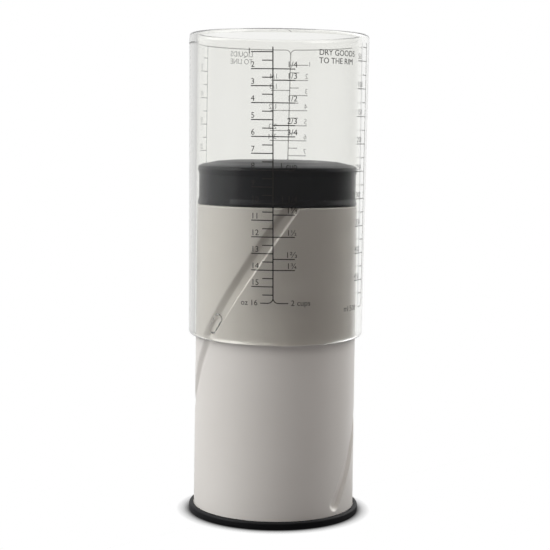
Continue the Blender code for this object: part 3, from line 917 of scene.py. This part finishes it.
def makeFloor():
    s = studioSizes
    mesh = bpy.data.meshes.new("floor")
    plane = bmesh.new()
    bmesh.ops.create_grid(plane, x_segments=1, y_segments=1, size=s["floorReach"])
    plane.to_mesh(mesh)
    plane.free()
    floor = bpy.data.objects.new("floor", mesh)
    floor.location.z = -s["floorDrop"]
    bpy.context.scene.collection.objects.link(floor)
    # white to the eye, with a painted shadow round the foot ring and a painted reflection of the room where the cup
    # mirrors it, but it throws only a little light back up at the cup
    paper = bpy.data.materials.new("whitePaper")
    paper.use_nodes = True
    tree = paper.node_tree
    tree.nodes.clear()
    place = addNode(tree, "ShaderNodeTexCoord")
    parts = addNode(tree, "ShaderNodeSeparateXYZ", {0: place.outputs["Object"]}).outputs
    # painted reflection: in the cup's reflections the floor glows with the room's low brightness by azimuth, brighter
    # behind the cup and dim in front
    paintedRoomGlow = brightnessRound(tree, parts, s["low"], 1.0)
    ray = addNode(tree, "ShaderNodeLightPath").outputs
    lighting = addNode(tree, "ShaderNodeMath", {0: ray["Diffuse Depth"], 1: 0.5}, operation="GREATER_THAN")
    matt = addNode(tree, "ShaderNodeBsdfDiffuse", {"Color": s["floorBounce"]})
    # painted contact shadow: near the cup, an occlusion lookup raised to a power darkens the floor's glow, instead of
    # light that the cup blocks
    paintedContactShadow = addNode(tree, "ShaderNodeAmbientOcclusion", {"Distance": s["paintedContactShadow"]})
    paintedShadow = addNode(tree, "ShaderNodeMath", {0: paintedContactShadow.outputs["AO"], 1: s["paintedShadowDarkness"]}, operation="POWER")
    shade = addNode(tree, "ShaderNodeMix", {
        "Factor": seenDirectly(tree), 6: paintedRoomGlow, 7: paintedShadow.outputs[0]}, data_type="RGBA")
    shown = addNode(tree, "ShaderNodeEmission", {"Color": shade.outputs[2]})
    either = addNode(tree, "ShaderNodeMixShader", {0: lighting.outputs[0], 1: shown.outputs[0], 2: matt.outputs[0]})
    # one-sided, so that the cup's underside can be looked at
    behind = addNode(tree, "ShaderNodeNewGeometry").outputs["Backfacing"]
    clear = addNode(tree, "ShaderNodeBsdfTransparent")
    sheet = addNode(tree, "ShaderNodeMixShader", {0: behind, 1: either.outputs[0], 2: clear.outputs[0]})
    addNode(tree, "ShaderNodeOutputMaterial", {"Surface": sheet.outputs[0]})
    mesh.materials.append(paper)


def makeLight():
    # a white room: two tall soft lights beside the cup, a bright wall behind it, and almost nothing in front
    s = studioSizes
    world = bpy.data.worlds.new("studio")
    bpy.context.scene.world = world
    world.use_nodes = True
    tree = world.node_tree
    tree.nodes.clear()
    facing = addNode(tree, "ShaderNodeTexCoord")
    parts = addNode(tree, "ShaderNodeSeparateXYZ", {0: facing.outputs["Generated"]}).outputs
    scale = 1 / s["brightest"]
    rise = addNode(tree, "ShaderNodeMapRange", {
        "Value": parts["Z"], "From Min": s["lowToHigh"][0], "From Max": s["lowToHigh"][1],
    }, interpolation_type="SMOOTHSTEP")
    walls = addNode(tree, "ShaderNodeMix", {
        "Factor": rise.outputs[0], 6: brightnessRound(tree, parts, s["low"], scale),
        7: brightnessRound(tree, parts, s["high"], scale)}, data_type="RGBA")
    high = addNode(tree, "ShaderNodeMapRange", {
        "Value": parts["Z"], "From Min": s["highToTop"][0], "From Max": s["highToTop"][1],
    }, interpolation_type="SMOOTHSTEP")
    room = addNode(tree, "ShaderNodeMix", {
        "Factor": high.outputs[0], 6: walls.outputs[2], 7: (s["top"] * scale,) * 3 + (1,)}, data_type="RGBA")
    # the white backdrop ends above the cup, which shows in the bends of the clear rim
    bent = addNode(tree, "ShaderNodeLightPath").outputs["Transmission Depth"]
    above = addNode(tree, "ShaderNodeMath", {0: parts["Z"], 1: s["backdropTop"]}, operation="GREATER_THAN")
    behind = addNode(tree, "ShaderNodeMath", {0: above.outputs[0], 1: bent}, operation="MULTIPLY")
    white = addNode(tree, "ShaderNodeMix", {
        "Factor": behind.outputs[0], 6: (scale,) * 3 + (1,), 7: (s["aboveBackdrop"] * scale,) * 3 + (1,),
    }, data_type="RGBA")
    seen = addNode(tree, "ShaderNodeMix", {
        "Factor": seenDirectly(tree), 6: room.outputs[2], 7: white.outputs[2]}, data_type="RGBA")
    light = addNode(tree, "ShaderNodeBackground", {"Color": seen.outputs[2], "Strength": s["brightest"]})
    addNode(tree, "ShaderNodeOutputWorld", {"Surface": light.outputs[0]})
    bpy.context.scene.view_settings.view_transform = "Standard"
    bpy.context.scene.cycles.blur_glossy = 0.0   # light keeps its direction through the clear wall


cameraSizes = {
    "distance": 648.9 * mm,
    "height": 172.8 * mm,
    "pitch": 0.1006,
    "roll": 0.0138,
    "lens": 94.44,
    "shift": -0.00215,
}


def makeCamera():
    s = cameraSizes
    data = bpy.data.cameras.new("camera")
    data.lens = s["lens"]
    data.sensor_width = 36
    data.shift_x = s["shift"]
    data.clip_start = 0.01
    data.clip_end = 100
    camera = bpy.data.objects.new("camera", data)
    bpy.context.scene.collection.objects.link(camera)
    aim = Matrix.Rotation(math.pi / 2 - s["pitch"], 4, "X") @ Matrix.Rotation(s["roll"], 4, "Z")
    camera.matrix_world = Matrix.Translation((0, -s["distance"], s["height"])) @ aim
    bpy.context.scene.camera = camera


makeFloor()
makeLight()
makeCamera()
print("made the studio")
